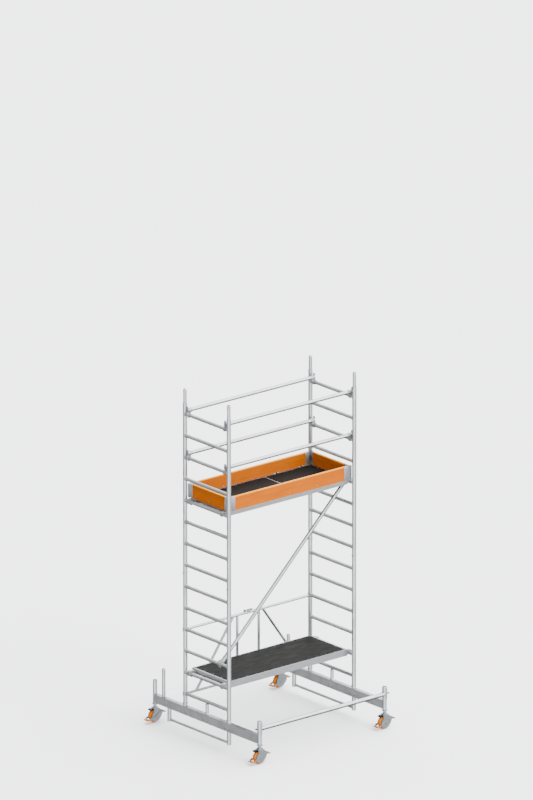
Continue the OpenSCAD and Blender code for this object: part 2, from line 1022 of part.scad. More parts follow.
left() beam();  // beam_left
right() beam();  // beam_right
left() lower_frame();  // lower_frame_left
right() lower_frame();  // lower_frame_right
left() upper_frame();  // upper_frame_left
right() upper_frame();  // upper_frame_right
base_tube();
translate([0, -half_beam, 0]) left() wing();  // wing_left
translate([0, -half_beam, 0]) right() wing();  // wing_right
fold_panel_left();
fold_panel_right();
panel_catch();
joint_clips();
adjusting_nuts();
lower_deck_frame();
lower_deck_board();
latch_at(lower_deck_z, 0);  // lower_latch_left
latch_at(lower_deck_z, 1);  // lower_latch_right
upper_deck_frame();
upper_deck_board();
latch_at(upper_deck_z, 0);  // upper_latch_left
latch_at(upper_deck_z, 1);  // upper_latch_right
hatch();
color(metal) rail_at(-1, top_rail_z) guardrail();  // rail_front_top
color(metal) rail_at(-1, mid_rail_z) guardrail();  // rail_front_mid
color(metal) rail_at(1, top_rail_z) guardrail();  // rail_back_top
color(metal) rail_at(1, mid_rail_z) guardrail();  // rail_back_mid
catch_at(-1, -1, top_rail_z);  // catch_front_top_left
catch_at(1, -1, top_rail_z);  // catch_front_top_right
catch_at(-1, -1, mid_rail_z);  // catch_front_mid_left
catch_at(1, -1, mid_rail_z);  // catch_front_mid_right
catch_at(-1, 1, top_rail_z);  // catch_back_top_left
catch_at(1, 1, top_rail_z);  // catch_back_top_right
catch_at(-1, 1, mid_rail_z);  // catch_back_mid_left
catch_at(1, 1, mid_rail_z);  // catch_back_mid_right
brace();
brace_catch(false);  // catch_brace_low
brace_catch(true);  // catch_brace_high
toeboard_long(-1);  // toeboard_front
toeboard_long(1);  // toeboard_back
toeboard_short(-1);  // toeboard_left
toeboard_short(1);  // toeboard_right
toeboard_fittings();
at_castor(0) stem();  // stem_fl
at_castor(1) stem();  // stem_fr
at_castor(2) stem();  // stem_bl
at_castor(3) stem();  // stem_br
at_castor(0) fork();  // fork_fl
at_castor(1) fork();  // fork_fr
at_castor(2) fork();  // fork_bl
at_castor(3) fork();  // fork_br
at_castor(0) wheel();  // wheel_fl
at_castor(1) wheel();  // wheel_fr
at_castor(2) wheel();  // wheel_bl
at_castor(3) wheel();  // wheel_br
at_castor(0) pedal();  // pedal_fl
at_castor(1) pedal();  // pedal_fr
at_castor(2) pedal();  // pedal_bl
at_castor(3) pedal();  // pedal_br
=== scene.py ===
import math
import random
import bmesh
import bpy
from mathutils import Matrix, Vector


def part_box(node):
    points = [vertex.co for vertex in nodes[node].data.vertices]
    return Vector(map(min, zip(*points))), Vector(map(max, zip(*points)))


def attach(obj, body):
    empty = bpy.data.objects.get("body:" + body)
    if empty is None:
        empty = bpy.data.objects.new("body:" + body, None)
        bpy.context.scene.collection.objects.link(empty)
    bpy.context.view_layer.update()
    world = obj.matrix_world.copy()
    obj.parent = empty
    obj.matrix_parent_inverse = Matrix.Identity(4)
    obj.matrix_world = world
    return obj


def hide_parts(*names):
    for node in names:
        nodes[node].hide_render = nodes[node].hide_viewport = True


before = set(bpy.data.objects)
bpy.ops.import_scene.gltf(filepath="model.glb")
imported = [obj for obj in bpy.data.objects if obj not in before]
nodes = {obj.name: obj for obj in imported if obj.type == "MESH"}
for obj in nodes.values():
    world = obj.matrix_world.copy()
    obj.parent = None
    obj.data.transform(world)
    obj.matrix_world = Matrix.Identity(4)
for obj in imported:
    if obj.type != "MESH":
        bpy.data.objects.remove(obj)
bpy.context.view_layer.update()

mm = 0.001
dice = random.Random(7)
print("frame loaded with", len(nodes), "nodes")


def linearColour(hexCode):
    # sRGB hex to the linear values that a shader socket wants
    parts = [int(hexCode[i:i + 2], 16) / 255 for i in (1, 3, 5)]
    linear = [c / 12.92 if c <= 0.04045 else ((c + 0.055) / 1.055) ** 2.4 for c in parts]
    return (*linear, 1.0)


def addNode(tree, kind, settings, inputs, output=0):
    # adds a node, fills or links its inputs by name or number, gives one output back
    node = tree.nodes.new(kind)
    for key, value in settings.items():
        setattr(node, key, value)
    for key, value in inputs.items():
        if isinstance(value, bpy.types.NodeSocket):
            tree.links.new(value, node.inputs[key])
        elif isinstance(value, str):
            node.inputs[key].default_value = linearColour(value)
        else:
            node.inputs[key].default_value = value
    return node.outputs[output]


def newMaterial(name, metallic, roughness, ior=None):
    material = bpy.data.materials.new(name)
    material.use_nodes = True
    shader = material.node_tree.nodes["Principled BSDF"]
    shader.inputs["Metallic"].default_value = metallic
    shader.inputs["Roughness"].default_value = roughness
    if ior:
        shader.inputs["IOR"].default_value = ior  # metals keep the default
    return material, material.node_tree, shader


def grainAt(tree, sizes, detail=3.0, rough=0.5):
    # noise whose blobs are about this many metres long on each axis, fixed to the piece
    place = addNode(tree, "ShaderNodeTexCoord", {}, {}, "Object")
    scaled = addNode(tree, "ShaderNodeMapping", {}, {"Vector": place, "Scale": [1 / s for s in sizes]})
    return addNode(tree, "ShaderNodeTexNoise", {},
                   {"Vector": scaled, "Scale": 1.0, "Detail": detail, "Roughness": rough}, "Fac")


def edgeWear(tree, radius):
    # 0 on flats, 1 where a bevelled normal leans away from the true one
    soft = addNode(tree, "ShaderNodeBevel", {"samples": 4}, {"Radius": radius}, "Normal")
    true = addNode(tree, "ShaderNodeNewGeometry", {}, {}, "Normal")
    match = addNode(tree, "ShaderNodeVectorMath", {"operation": "DOT_PRODUCT"}, {0: soft, 1: true}, "Value")
    return addNode(tree, "ShaderNodeMapRange", {}, {0: match, 1: 0.97, 2: 0.75, 3: 0.0, 4: 1.0})


def finishSurface(tree, shader, look):
    # what every finish shares: two tones in clouds, worn edges, uneven gloss, a relief
    cloud = grainAt(tree, look["cloud"], 5.0, 0.6)
    grain = grainAt(tree, look["grain"], 3.0)
    patchy = addNode(tree, "ShaderNodeMapRange", {}, {0: cloud, 1: 0.38, 2: 0.66, 3: 0.0, 4: 1.0})
    colour = addNode(tree, "ShaderNodeMix", {"data_type": "RGBA"},
                     {0: patchy, 6: look["face"], 7: look["second"]}, 2)
    streak = addNode(tree, "ShaderNodeMapRange", {}, {0: grain, 1: 0.5, 2: 0.75, 3: 0.0, 4: look["streak"]})
    colour = addNode(tree, "ShaderNodeMix", {"data_type": "RGBA"},
                     {0: streak, 6: colour, 7: look["dark"]}, 2)
    if look.get("edge"):
        worn = edgeWear(tree, look["edgeWidth"])
        colour = addNode(tree, "ShaderNodeMix", {"data_type": "RGBA"},
                         {0: worn, 6: colour, 7: look["edge"]}, 2)
    shader.inputs["Specular IOR Level"].default_value = look.get("sheen", 0.5)
    low, high = look["gloss"]
    gloss = addNode(tree, "ShaderNodeMapRange", {}, {0: cloud, 1: 0.3, 2: 0.7, 3: low, 4: high})
    relief = addNode(tree, "ShaderNodeBump", {}, {"Height": grain, "Distance": look["relief"],
                                                 "Strength": 0.6}, "Normal")
    tree.links.new(colour, shader.inputs["Base Color"])
    tree.links.new(gloss, shader.inputs["Roughness"])
    tree.links.new(relief, shader.inputs["Normal"])
    return colour, relief


aluminiumLook = {
    "face": "#C6C7C8",           # drawn skin
    "second": "#B4B5B6",         # handled and slightly oxidised
    "dark": "#97989A",           # die lines
    "streak": 0.5,
    "gloss": (0.25, 0.36),
    "relief": 0.12 * mm,
    "outlineShadeTint": "#606060",        # painted shade: this dark edge tint darkens each tube towards its outline
    "dieLine": 3 * mm,           # nearer 0.3 mm on a real tube, drawn coarser so that it shows
    "dieLineLength": 900 * mm,
    "handling": 140 * mm,        # hand and glove marks
}


def drawnAluminium(axis):
    # mill-finish 6082 tube pulled through a die: long faint lines on a bright satin skin
    look = dict(aluminiumLook)
    look["grain"] = [look["dieLine"]] * 3
    look["grain"][axis] = look["dieLineLength"]
    look["cloud"] = [look["handling"]] * 3
    material, tree, shader = newMaterial("drawnAluminium" + "XYZ"[axis], 1.0, 0.32)
    # painted shade: the dark grazing tint darkens every tube towards its outline
    shader.inputs["Specular Tint"].default_value = linearColour(look["outlineShadeTint"])
    finishSurface(tree, shader, look)
    return material


def castAluminium():
    # sand-cast claws and couplers: pale grey pebbled skin, edges rubbed bright
    material, tree, shader = newMaterial("sandCastAluminium", 1.0, 0.5)
    finishSurface(tree, shader, {
        "face": "#ABADAF", "second": "#96999B", "dark": "#787B7D", "streak": 0.6,
        "edge": "#CCCED0", "edgeWidth": 3 * mm, "gloss": (0.42, 0.6),
        "grain": [2.5 * mm] * 3, "cloud": [45 * mm] * 3, "relief": 0.3 * mm})
    return material


def passivatedCasting():
    # claw catches and wing handles: dark passivated casting, edges rubbed to bare metal
    material, tree, shader = newMaterial("darkPassivatedCasting", 1.0, 0.5)
    finishSurface(tree, shader, {
        "face": "#45484A", "second": "#393B3E", "dark": "#2C2E30", "streak": 0.5,
        "edge": "#7E8082", "edgeWidth": 2 * mm, "gloss": (0.38, 0.55),
        "grain": [2 * mm] * 3, "cloud": [30 * mm] * 3, "relief": 0.2 * mm})
    return material


def galvanisedSteel():
    # hot-dip galvanised forks, stems and nuts: satin zinc broken into crystal spangle
    spangle = 14 * mm            # crystals at the large end of their real size
    material, tree, shader = newMaterial("galvanisedSteel", 1.0, 0.4)
    colour, relief = finishSurface(tree, shader, {
        "face": "#A4A7AA", "second": "#929598", "dark": "#7A7D80", "streak": 0.4,
        "edge": "#C0C2C4", "edgeWidth": 2 * mm, "gloss": (0.3, 0.48),
        "grain": [5 * mm] * 3, "cloud": [40 * mm] * 3, "relief": 0.1 * mm})
    place = addNode(tree, "ShaderNodeTexCoord", {}, {}, "Object")
    crystals = addNode(tree, "ShaderNodeTexVoronoi", {}, {"Vector": place, "Scale": 1 / spangle}, "Color")
    tone = addNode(tree, "ShaderNodeSeparateColor", {}, {"Color": crystals}, 0)
    facet = addNode(tree, "ShaderNodeMapRange", {}, {0: tone, 1: 0.0, 2: 1.0, 3: 0.0, 4: 0.45})
    mixed = addNode(tree, "ShaderNodeMix", {"data_type": "RGBA"}, {0: facet, 6: colour, 7: "#7C7F82"}, 2)
    tree.links.new(mixed, shader.inputs["Base Color"])
    return material


gripPrintLook = {
    "pitch": 14 * mm,            # 5 mm in life, drawn coarser so that it shows
    "wire": (0.04, 0.16),        # from the wire's core to its edge, in parts of the pitch
    "shade": 0.35,
    "depth": 0.3 * mm,
}


def filmFacedPlywood():
    # birch plywood under a near-black phenolic film, pressed with a wire-mesh grip print
    material, tree, shader = newMaterial("filmFacedPlywood", 0.0, 0.6, 1.5)
    colour, relief = finishSurface(tree, shader, {
        "face": "#1A1918", "second": "#1F1E1C", "dark": "#141312", "streak": 0.6,
        "edge": "#343230", "edgeWidth": 2 * mm, "gloss": (0.45, 0.68), "relief": 0.15 * mm, "sheen": 0.02,
        "grain": [60 * mm, 9 * mm, 9 * mm], "cloud": [160 * mm, 60 * mm, 60 * mm]})
    core, rim = gripPrintLook["wire"]
    place = addNode(tree, "ShaderNodeTexCoord", {}, {}, "Object")
    cell = addNode(tree, "ShaderNodeTexVoronoi", {"feature": "DISTANCE_TO_EDGE"},
                   {"Vector": place, "Scale": 1 / gripPrintLook["pitch"], "Randomness": 0.0}, "Distance")
    wire = addNode(tree, "ShaderNodeMapRange", {}, {0: cell, 1: core, 2: rim, 3: 1.0, 4: 0.0})
    shade = addNode(tree, "ShaderNodeMath", {"operation": "MULTIPLY"}, {0: wire, 1: gripPrintLook["shade"]})
    mixed = addNode(tree, "ShaderNodeMix", {"data_type": "RGBA"}, {0: shade, 6: colour, 7: "#11100F"}, 2)
    press = addNode(tree, "ShaderNodeBump", {"invert": True},
                    {"Height": wire, "Distance": gripPrintLook["depth"],
                     "Strength": 0.7, "Normal": relief}, "Normal")
    tree.links.new(mixed, shader.inputs["Base Color"])
    tree.links.new(press, shader.inputs["Normal"])
    return material


def paintedTimber():
    # planed softwood rolled with orange gloss: the grain telegraphs through along the board
    material, tree, shader = newMaterial("orangePaintedTimber", 0.0, 0.46, 1.48)
    finishSurface(tree, shader, {
        "face": "#AE5804", "second": "#A65203", "dark": "#904402", "streak": 0.5,
        "edge": "#D8840C", "edgeWidth": 4 * mm, "gloss": (0.36, 0.55),
        "grain": [600 * mm, 600 * mm, 14 * mm], "cloud": [220 * mm, 220 * mm, 70 * mm], "relief": 0.4 * mm,
        "sheen": 0.04})
    return material


def mouldedPlastic(name, face, second, edge, gloss, grain=3 * mm):
    # moulded or powder-coated skin: fine spark-eroded grain, paler scuffed edges
    material, tree, shader = newMaterial(name, 0.0, gloss, 1.5)
    finishSurface(tree, shader, {
        "face": face, "second": second, "dark": second, "streak": 0.3,
        "edge": edge, "edgeWidth": 2 * mm, "gloss": (gloss - 0.06, gloss + 0.08),
        "grain": [grain] * 3, "cloud": [40 * mm] * 3, "relief": 0.1 * mm, "sheen": 0.1})
    return material


def weldMetal():
    # hand-laid aluminium weld: brighter and rougher than the tube, with fine ripples
    material, tree, shader = newMaterial("weldedAluminium", 1.0, 0.45)
    finishSurface(tree, shader, {
        "face": "#BEC0C1", "second": "#ABADAF", "dark": "#8A8C8E", "streak": 0.6,
        "gloss": (0.38, 0.52), "grain": [1.6 * mm] * 3, "cloud": [30 * mm] * 3, "relief": 0.3 * mm})
    return material


def paperRoll():
    # matt seamless background paper, faintly mottled
    material, tree, shader = newMaterial("paperRoll", 0.0, 0.9, 1.45)
    mottle = grainAt(tree, [1.5] * 3, 2.0)
    colour = addNode(tree, "ShaderNodeMix", {"data_type": "RGBA"}, {0: mottle, 6: "#FDFDFD", 7: "#FAFAFA"}, 2)
    tree.links.new(colour, shader.inputs["Base Color"])
    return material


finish = {
    "tubeX": drawnAluminium(0), "tubeY": drawnAluminium(1), "tubeZ": drawnAluminium(2),
    "cast": castAluminium(), "catch": passivatedCasting(), "zinc": galvanisedSteel(),
    "board": filmFacedPlywood(), "toe": paintedTimber(),
    # painted highlight: the lighter orange of the toeboards' top band stands for light falling on their top
    # edges
    "toeTopHighlight": mouldedPlastic("orangeTopHighlightBand", "#DC8C08", "#D28406", "#E8A42C", 0.4),
    "tyre": mouldedPlastic("castPolyurethane", "#C8700C", "#BC6606", "#DC9034", 0.42),
    "hub": mouldedPlastic("greyNylon", "#4A4C4E", "#404244", "#686A6C", 0.45),
    "fender": mouldedPlastic("blackNylon", "#0E1012", "#14171A", "#2A2D30", 0.4),
    "pedal": mouldedPlastic("orangePowderCoat", "#CC760C", "#C06C06", "#E09834", 0.38),
    "latch": mouldedPlastic("oxideRedPowderCoat", "#5C2416", "#501E12", "#7E4634", 0.42),
    "weld": weldMetal(),
}
print("finishes made:", len(finish))


def solidsOf(nodeName):
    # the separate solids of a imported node: their faces and boxes
    mesh = nodes[nodeName].data
    parent = {}

    def top(key):
        while parent[key] != key:
            parent[key] = parent[parent[key]]
            key = parent[key]
        return key

    keys = [tuple(round(c / (0.01 * mm)) for c in v.co) for v in mesh.vertices]
    for key in keys:
        parent[key] = key
    for face in mesh.polygons:
        first = top(keys[face.vertices[0]])
        for corner in face.vertices[1:]:
            parent[top(keys[corner])] = first
    groups = {}
    for face in mesh.polygons:
        groups.setdefault(top(keys[face.vertices[0]]), []).append(face)
    found = []
    for faces in groups.values():
        points = [mesh.vertices[v].co for face in faces for v in face.vertices]
        low = Vector([min(p[i] for p in points) for i in range(3)])
        high = Vector([max(p[i] for p in points) for i in range(3)])
        found.append((faces, low, high))
    return found


solids = {name: solidsOf(name) for name in nodes}
sortBy = {                       # sizes in metres that tell the solids of one node apart
    "tubeOver": 0.3,
    "profileOver": 0.1,
    "fenderUnder": (0.05, 0.03),     # length, height
    "fenderWidthOver": 0.04,
    "fenderAbove": 0.14,
    "padWidthOver": 0.03,
}


def dress(nodeName, choose):
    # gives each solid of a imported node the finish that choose(low, high) names
    thing = nodes[nodeName]
    thing.data.materials.clear()
    used = []
    for faces, low, high in solids[nodeName]:
        name = choose(low, high)
        if name not in used:
            used.append(name)
            thing.data.materials.append(finish[name])
        for face in faces:
            face.material_index = used.index(name)


def alongTube(low, high):
    size = high - low
    return ("tubeX", "tubeY", "tubeZ")[max(range(3), key=lambda i: size[i])]


def railOrClaw(low, high):
    return "tubeX" if high.x - low.x > sortBy["tubeOver"] else "cast"


def deckProfile(low, high):
    size = high - low
    return "tubeX" if size.x > sortBy["tubeOver"] else "tubeY" if size.y > sortBy["profileOver"] else "cast"


def hatchLeaf(low, high):
    return "board" if max(high.x - low.x, high.y - low.y) > sortBy["profileOver"] else "zinc"


def forkPart(low, high):
    # the moulded fender is the only block of the fork that is short, wide and above the wheel
    size = high - low
    length, height = sortBy["fenderUnder"]
    small = size.x < length and size.z < height and size.y > sortBy["fenderWidthOver"]
    return "fender" if small and low.z > sortBy["fenderAbove"] else "zinc"


def pedalPart(low, high):
    return "pedal" if high.y - low.y > sortBy["padWidthOver"] else "zinc"


finishByName = (
    (("beam_", "lower_frame", "upper_frame", "base_tube", "fold_panel"), alongTube),
    (("rail_", "brace"), railOrClaw),
    (("lower_deck_frame", "upper_deck_frame"), deckProfile),
    (("lower_deck_board", "upper_deck_board"), "board"),
    (("hatch",), hatchLeaf),
    (("catch_", "wing_", "panel_catch"), "catch"),
    (("lower_latch", "upper_latch"), "latch"),
    (("toeboard_fittings",), "tubeZ"),
    (("toeboard_",), "toe"),
    (("wheel_",), "tyre"),
    (("fork_",), forkPart),
    (("pedal_",), pedalPart),
    (("",), "zinc"),
)
for name in nodes:
    chosen = next(look for starts, look in finishByName if name.startswith(starts))
    dress(name, chosen if callable(chosen) else lambda low, high, only=chosen: only)
print("packed pieces dressed")


def turned(mesh, profile, at, axis, sides=24, twist=0.0):
    # turns (radius, height) points about an axis; a closed ring if it never reaches the axis
    stand = Vector((0, 0, 1)).rotation_difference(Vector(axis)).to_matrix()
    rings = []
    for radius, height in profile:
        ring = []
        for step in range(sides):
            angle = 2 * math.pi * step / sides + twist
            spot = Vector((radius * math.cos(angle), radius * math.sin(angle), height))
            ring.append(mesh.verts.new(Vector(at) + stand @ spot))
        rings.append(ring)
    closed = profile[0][0] > 0 and profile[-1][0] > 0
    pairs = list(zip(rings, rings[1:])) + ([(rings[-1], rings[0])] if closed else [])
    for lower, upper in pairs:
        for step in range(sides):
            following = (step + 1) % sides
            mesh.faces.new((lower[step], lower[following], upper[following], upper[step]))


def block(mesh, low, high, rounding):
    # a box with rounded edges
    low, high = Vector(low), Vector(high)
    size = high - low
    placed = Matrix.Translation((low + high) / 2) @ Matrix.Diagonal((*size, 1))
    made = bmesh.ops.create_cube(mesh, size=1.0, matrix=placed)
    edges = list({edge for vert in made["verts"] for edge in vert.link_edges})
    bmesh.ops.bevel(mesh, geom=edges, offset=rounding, segments=2, affect="EDGES", profile=0.5)


def hexBolt(mesh, at, axis, across):
    # a washer under a chamfered hexagon head
    radius = across / math.sqrt(3)
    turned(mesh, [(0, 0), (radius * 1.25, 0), (radius * 1.25, 1.6 * mm), (radius * 1.15, 2 * mm),
                  (0, 2 * mm)], at, axis)
    turned(mesh, [(0, 2 * mm), (radius, 2 * mm), (radius, 7.4 * mm), (radius * 0.86, 9 * mm),
                  (0, 9 * mm)], at, axis, 6, dice.random())


def dome(mesh, at, axis, radius, height):
    profile = [(0, 0), (radius, 0), (radius, height * 0.25)]
    profile += [(radius * math.cos(a), height * (0.25 + 0.75 * math.sin(a))) for a in (0.4, 0.8, 1.2)]
    turned(mesh, profile + [(0, height)], at, axis, 12)


def makePiece(name, mesh, finishName, body):
    bmesh.ops.remove_doubles(mesh, verts=mesh.verts, dist=0.002 * mm)
    bmesh.ops.dissolve_degenerate(mesh, edges=mesh.edges, dist=0.002 * mm)
    bmesh.ops.recalc_face_normals(mesh, faces=mesh.faces)
    data = bpy.data.meshes.new(name)
    mesh.to_mesh(data)
    mesh.free()
    data.materials.append(finish[finishName])
    data.shade_smooth()
    data.set_sharp_from_angle(angle=math.radians(35))
    thing = bpy.data.objects.new(name, data)
    bpy.context.scene.collection.objects.link(thing)
    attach(thing, body)
    return thing


weldLook = {"bead": 2.6 * mm, "ripple": 0.5 * mm, "ripplesRound": 22, "steps": 66, "sides": 6, "lean": 0.8}


def weldBead(mesh, centre, ringRadius, postRadius, side):
    # fillet bead where a rung's collar meets the round upright: it dips as the upright curves
    look = weldLook
    rings = []
    for step in range(look["steps"]):
        angle = 2 * math.pi * step / look["steps"]
        x = ringRadius * math.cos(angle)
        spot = Vector((x, side * -math.sqrt(postRadius ** 2 - x ** 2), ringRadius * math.sin(angle)))
        outward = Vector((math.cos(angle), -side * look["lean"], math.sin(angle))).normalized()
        along = Vector((-math.sin(angle), 0, math.cos(angle)))
        across = outward.cross(along).normalized()
        size = look["bead"] + look["ripple"] * math.sin(angle * look["ripplesRound"])
        rings.append([mesh.verts.new(centre + spot + size * (outward * math.cos(t) + across * math.sin(t)))
                      for t in (2 * math.pi * k / look["sides"] for k in range(look["sides"]))])
    for first, second in zip(rings, rings[1:] + rings[:1]):
        for k in range(look["sides"]):
            following = (k + 1) % look["sides"]
            mesh.faces.new((first[k], first[following], second[following], second[k]))


frameLook = {
    "uprightOver": 1.0,          # only an upright is taller, and only a rung is wider
    "rungOver": 0.5,
    "rivetDrops": (40 * mm, 75 * mm),
    "rivet": 6 * mm,
    "rivetHeight": 3 * mm,
}
for frameName in ("lower_frame_left", "lower_frame_right", "upper_frame_left", "upper_frame_right"):
    beads, rivets = bmesh.new(), bmesh.new()
    uprights = [(low, high) for faces, low, high in solids[frameName]
                if high.z - low.z > frameLook["uprightOver"]]
    postRadius = max(high.x - low.x for low, high in uprights) / 2
    for faces, low, high in solids[frameName]:
        if high.y - low.y < frameLook["rungOver"]:
            continue
        middle = (low + high) / 2
        collar = (high.x - low.x) / 2
        for side in (-1, 1):
            post = max(uprights, key=lambda u: side * (u[0].y + u[1].y))
            centre = Vector((middle.x, (post[0].y + post[1].y) / 2, middle.z))
            weldBead(beads, centre, collar, postRadius, side)
    for low, high in uprights:
        centre = (low + high) / 2
        for drop in frameLook["rivetDrops"]:
            for side in (-1, 1):
                dome(rivets, (centre.x, centre.y + side * postRadius, high.z - drop),
                     (0, side, 0), frameLook["rivet"], frameLook["rivetHeight"])
    makePiece("welds_" + frameName, beads, "weld", "tower")
    makePiece("rivets_" + frameName, rivets, "cast", "tower")
print("frame welds and rivets made")

beamLook = {
    "boltUp": 0.28,              # part of the beam's height
    "boltSpread": 34 * mm,
    "boltAcross": 13 * mm,
    "standUnder": 0.06,          # a stand is narrower and taller than this
    "standOver": 0.05,
    "endIn": 0.02,               # a stand nearer the end is the castor post
}
for name in ("beam_left", "beam_right"):
    low, high = max(((low, high) for faces, low, high in solids[name]),
                    key=lambda box: box[1].y - box[0].y)
    hardware = bmesh.new()
    stands = [(a + b) / 2 for faces, a, b in solids[name]
              if b.y - a.y < beamLook["standUnder"] and b.z - a.z > beamLook["standOver"]]
    for stand in stands:
        if abs(stand.y) > high.y - beamLook["endIn"]:
            continue
        for shift in (-1, 1):
            for face in (-1, 1):
                x = low.x if face < 0 else high.x
                hexBolt(hardware, (x, stand.y + shift * beamLook["boltSpread"],
                                   low.z + (high.z - low.z) * beamLook["boltUp"]),
                        (face, 0, 0), beamLook["boltAcross"])
    makePiece("bolts_" + name, hardware, "zinc", "tower")
print("beam bolts made")

deckLook = {
    "rivetPitch": 130 * mm,
    "rivet": 4.5 * mm,
    "rivetHeight": 1.5 * mm,
    "edgeIn": 16 * mm,
    "trimWidth": 4 * mm,         # strip at the joint of board and hatch
    "trimHeight": 1.2 * mm,
    "lipWidth": 9 * mm,          # strip along the toeboards
    "lipHeight": 2 * mm,
    "toeboardGap": 1 * mm,
    "rounding": 0.4 * mm,
}


def rivetRows(mesh, low, high, skipEnd=None):
    inset, pitch = deckLook["edgeIn"], deckLook["rivetPitch"]
    countX = max(2, round((high.x - low.x - 2 * inset) / pitch))
    countY = max(2, round((high.y - low.y - 2 * inset) / pitch))
    for k in range(countX + 1):
        x = low.x + inset + (high.x - low.x - 2 * inset) * k / countX
        for y in (low.y + inset, high.y - inset):
            dome(mesh, (x, y, high.z), (0, 0, 1), deckLook["rivet"], deckLook["rivetHeight"])
    for k in range(1, countY):
        y = low.y + inset + (high.y - low.y - 2 * inset) * k / countY
        for x, end in ((low.x + inset, -1), (high.x - inset, 1)):
            if end != skipEnd:
                dome(mesh, (x, y, high.z), (0, 0, 1), deckLook["rivet"], deckLook["rivetHeight"])


def topBoard(name):
    return max(((low, high) for faces, low, high in solids[name]),
               key=lambda box: (box[1].x - box[0].x) * (box[1].y - box[0].y))


for name, body, end in (("lower_deck_board", "tower", None), ("upper_deck_board", "tower", 1),
                        ("hatch", "hatch", -1)):
    low, high = topBoard(name)
    if name == "hatch":                    # its solid includes the hinge knuckles, which stand higher
        high.y, high.z = deckTop.y, deckTop.z
    deckTop = high
    rivets = bmesh.new()
    rivetRows(rivets, low, high, end)
    makePiece("rivets_" + name, rivets, "cast", body)
    if end:
        trim = bmesh.new()
        edge = high.x if end > 0 else low.x
        block(trim, (min(edge, edge - end * deckLook["trimWidth"]), low.y, high.z),
              (max(edge, edge - end * deckLook["trimWidth"]), high.y, high.z + deckLook["trimHeight"]),
              deckLook["rounding"])
        frontLip = max(low.y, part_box("toeboard_front")[1].y + deckLook["toeboardGap"])
        backLip = min(high.y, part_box("toeboard_back")[0].y - deckLook["toeboardGap"])
        for a, b in ((frontLip, frontLip + deckLook["lipWidth"]), (backLip - deckLook["lipWidth"], backLip)):
            block(trim, (low.x + 0.5 * mm, a, high.z), (high.x - 0.5 * mm, b, high.z + deckLook["lipHeight"]),
                  deckLook["rounding"])
        makePiece("trim_" + name, trim, "cast", body)
ringLook = {"in": 70 * mm, "hole": 17 * mm, "outside": 26 * mm, "chamfer": 2 * mm, "dish": 16.5 * mm}
pull = bmesh.new()
grip = (low.x + ringLook["in"], (low.y + high.y) / 2, high.z)
hole, outside, chamfer = ringLook["hole"], ringLook["outside"], ringLook["chamfer"]
turned(pull, [(hole, 0.3 * mm), (outside, 0.3 * mm), (outside, 1.4 * mm), (outside - chamfer, 2.2 * mm),
              (hole + chamfer, 2.2 * mm), (hole, 1.4 * mm)], grip, (0, 0, 1), 36)
turned(pull, [(0, 0.1 * mm), (ringLook["dish"], 0.1 * mm), (ringLook["dish"] - 1.5 * mm, 1 * mm),
              (0, 0.6 * mm)], grip, (0, 0, 1), 36)
makePiece("hatchFingerRing", pull, "catch", "hatch")
print("deck rivets and trims made")

toeboardLook = {
    "highlightBandHeight": 7 * mm,        # painted highlight: lighter edge band along the top, where the light falls
    "proud": 0.8 * mm,
    "highlightBandRounding": 1.6 * mm,
    "screwPitch": 560 * mm,
    "screwUp": 26 * mm,
    "screwIn": 45 * mm,
    "screw": 6 * mm,
    "screwHeight": 2.4 * mm,
}
for name in ("toeboard_front", "toeboard_back", "toeboard_left", "toeboard_right"):
    low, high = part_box(name)
    # painted highlight: a lighter orange band over the top edge of each toeboard
    band = bmesh.new()
    thin = 0 if high.x - low.x < high.y - low.y else 1
    grown = Vector((0, 0, 0))
    grown[thin] = grown.z = toeboardLook["proud"]
    block(band, Vector((low.x, low.y, high.z - toeboardLook["highlightBandHeight"])) - grown, high + grown,
          toeboardLook["highlightBandRounding"])
    makePiece("highlightBand_" + name, band, "toeTopHighlight", "tower")
    screws = bmesh.new()
    long = 1 - thin
    inset = toeboardLook["screwIn"]
    count = round((high[long] - low[long]) / toeboardLook["screwPitch"]) + 1
    for k in range(count + 1):
        spot = Vector((0, 0, low.z + toeboardLook["screwUp"]))
        spot[long] = low[long] + inset + (high[long] - low[long] - 2 * inset) * k / count
        for face in (-1, 1):
            spot[thin] = low[thin] if face < 0 else high[thin]
            axis = Vector((0, 0, 0))
            axis[thin] = face
            dome(screws, spot, axis, toeboardLook["screw"], toeboardLook["screwHeight"])
    makePiece("screws_" + name, screws, "zinc", "tower")
ribLook = {"count": 4, "half": 2 * mm, "endIn": 8 * mm, "proud": 1.5 * mm, "sunk": 0.5 * mm,
           "rounding": 0.8 * mm}
fittings = bmesh.new()
for faces, low, high in solids["toeboard_fittings"]:
    thin = 0 if high.x - low.x < high.y - low.y else 1
    long = 1 - thin
    for k in range(ribLook["count"]):          # pressed ribs that stiffen the corner fittings
        along = low[long] + (high[long] - low[long]) * (k + 1) / (ribLook["count"] + 1)
        for face in (-1, 1):
            a, b = low.copy(), high.copy()
            a[long], b[long] = along - ribLook["half"], along + ribLook["half"]
            a.z, b.z = low.z + ribLook["endIn"], high.z - ribLook["endIn"]
            if face < 0:
                a[thin], b[thin] = low[thin] - ribLook["proud"], low[thin] + ribLook["sunk"]
            else:
                a[thin], b[thin] = high[thin] - ribLook["sunk"], high[thin] + ribLook["proud"]
            block(fittings, a, b, ribLook["rounding"])
makePiece("ribs_toeboard_fittings", fittings, "tubeZ", "tower")
sleeveLook = {"length": 58 * mm, "skin": 1.5 * mm, "ribs": 3}
